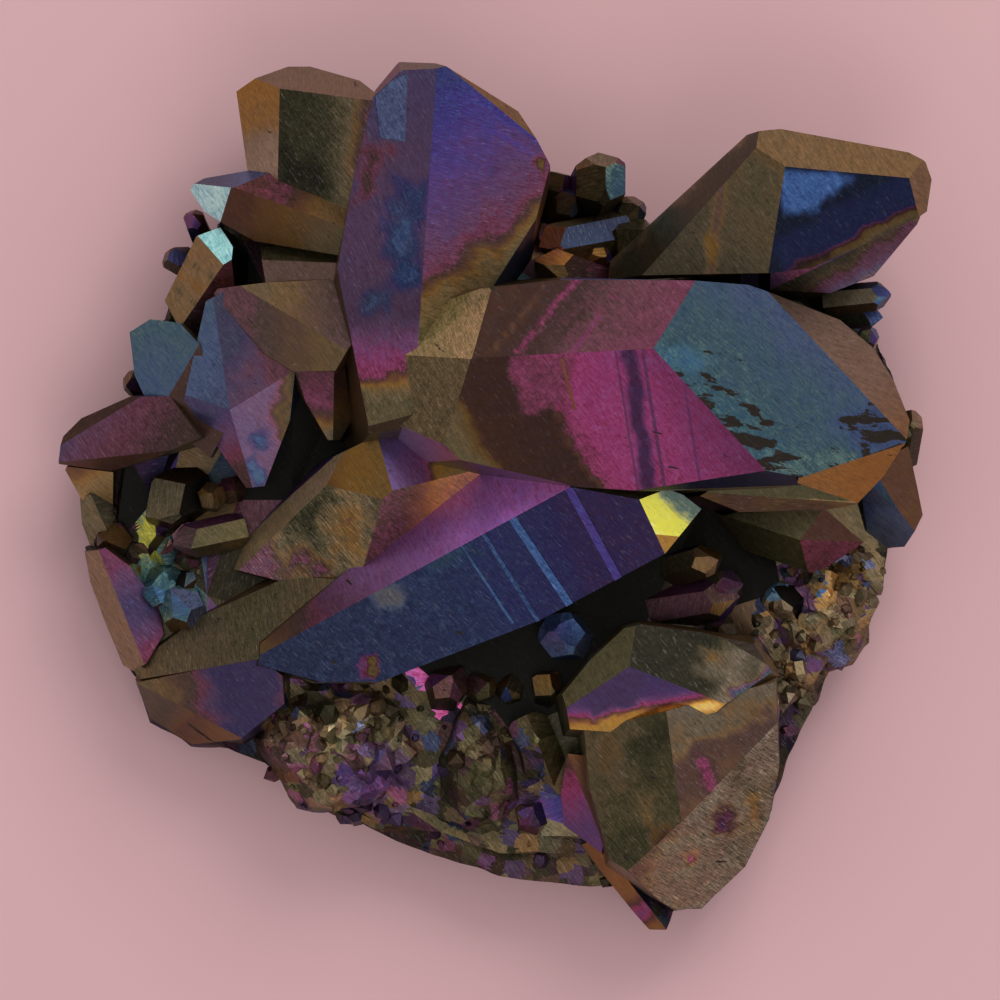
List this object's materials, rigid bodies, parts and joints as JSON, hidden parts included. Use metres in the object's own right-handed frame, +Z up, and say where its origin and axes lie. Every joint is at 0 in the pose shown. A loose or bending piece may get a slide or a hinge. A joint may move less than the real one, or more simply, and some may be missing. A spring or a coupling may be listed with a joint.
{
  "type": "aura quartz cluster",
  "caption": "Cluster of metal-coated quartz crystals grown together on a rough plate of matrix, lying flat on its underside.",
  "frame": {"origin": "the middle of the specimen's footprint box, on the level its matrix rests on", "axes": "+Z up out of the matrix; +X to the right and +Y away from the viewer, as seen from above"},
  "size_m": [0.0874, 0.0868, 0.036],
  "materials": {
    "coated_quartz": "opaque iridescent metal coating over quartz and matrix, satin, olive-bronze with magenta, violet, blue and teal"
  },
  "bodies": {
    "root": {"quartz_cluster": "coated_quartz"}
  },
  "joints": []
}
